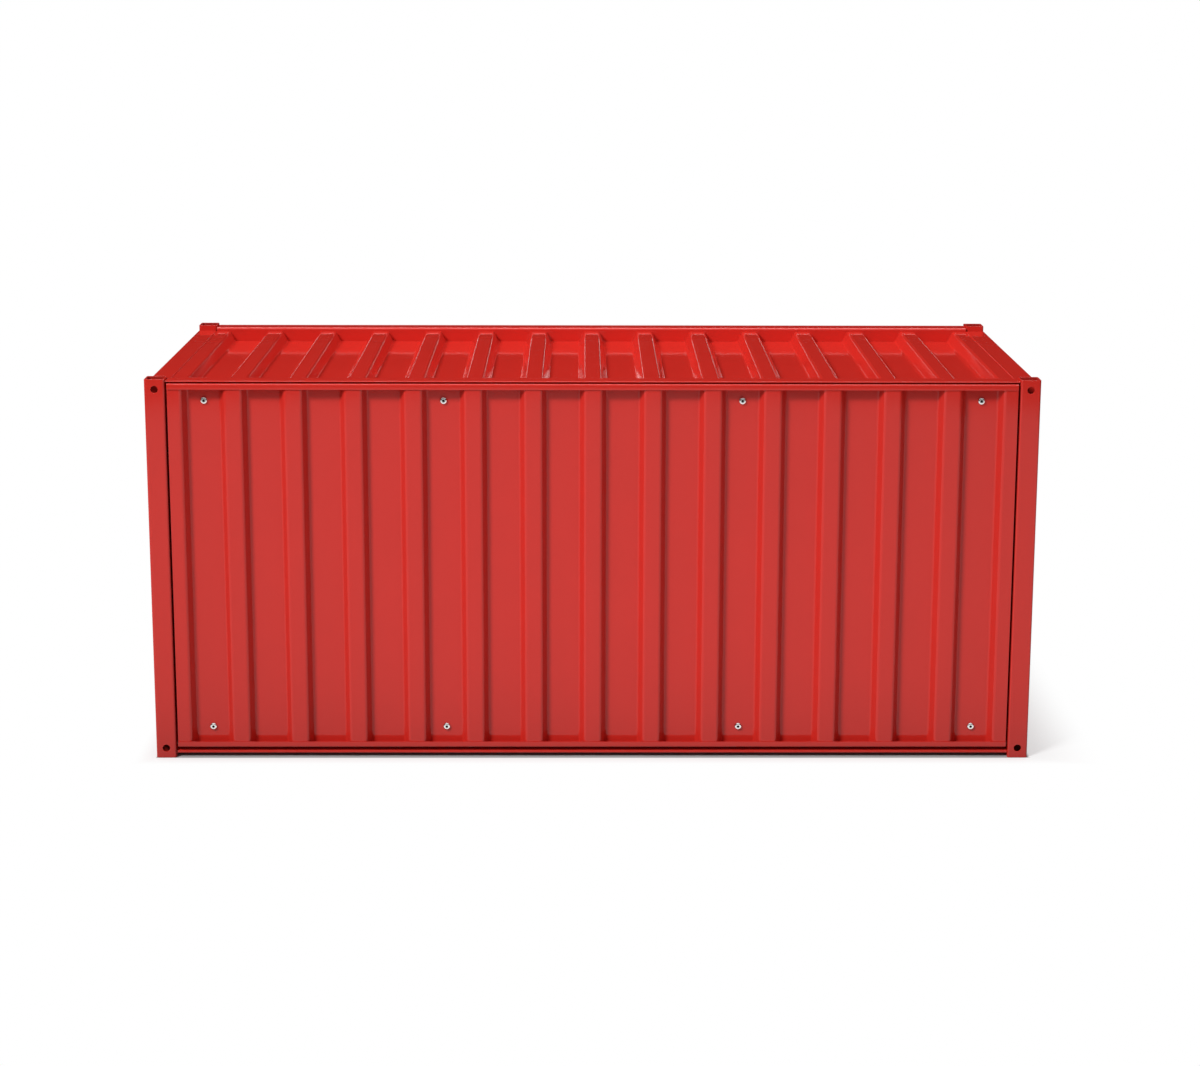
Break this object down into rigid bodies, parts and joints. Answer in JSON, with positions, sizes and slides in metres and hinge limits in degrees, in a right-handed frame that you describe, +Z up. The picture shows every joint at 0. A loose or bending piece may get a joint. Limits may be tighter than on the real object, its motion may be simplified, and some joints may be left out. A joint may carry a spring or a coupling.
{
  "type": "scale-model shipping container",
  "caption": "Furniture-size scale model of a shipping container in red sheet steel: square tube posts, folded rails, corrugated roof and screwed-on corrugated walls.",
  "frame": {"origin": "middle of the footprint, at the level of the post feet", "axes": "+X along the length, -Y out of the pictured long side, +Z up"},
  "size_m": [1.1, 0.45, 0.485],
  "materials": {
    "red_powder_coat": "satin gloss powder coat",
    "bright_steel": "bright zinc-plated screws"
  },
  "bodies": {
    "root": {"corner_post_front_left": "red_powder_coat", "corner_post_front_right": "red_powder_coat", "corner_post_rear_left": "red_powder_coat", "corner_post_rear_right": "red_powder_coat", "top_rail_front": "red_powder_coat", "top_rail_rear": "red_powder_coat", "top_rail_left": "red_powder_coat", "top_rail_right": "red_powder_coat", "bottom_rail_front": "red_powder_coat", "bottom_rail_rear": "red_powder_coat", "bottom_rail_left": "red_powder_coat", "bottom_rail_right": "red_powder_coat", "roof_sheet": "red_powder_coat", "floor_sheet": "red_powder_coat", "front_panel": "red_powder_coat", "front_panel_top_edge": "red_powder_coat", "front_panel_bottom_edge": "red_powder_coat", "rear_panel": "red_powder_coat", "rear_panel_top_edge": "red_powder_coat", "rear_panel_bottom_edge": "red_powder_coat", "left_end_panel": "red_powder_coat", "left_end_panel_top_edge": "red_powder_coat", "left_end_panel_bottom_edge": "red_powder_coat", "right_end_panel": "red_powder_coat", "right_end_panel_top_edge": "red_powder_coat", "right_end_panel_bottom_edge": "red_powder_coat"}
  },
  "joints": []
}
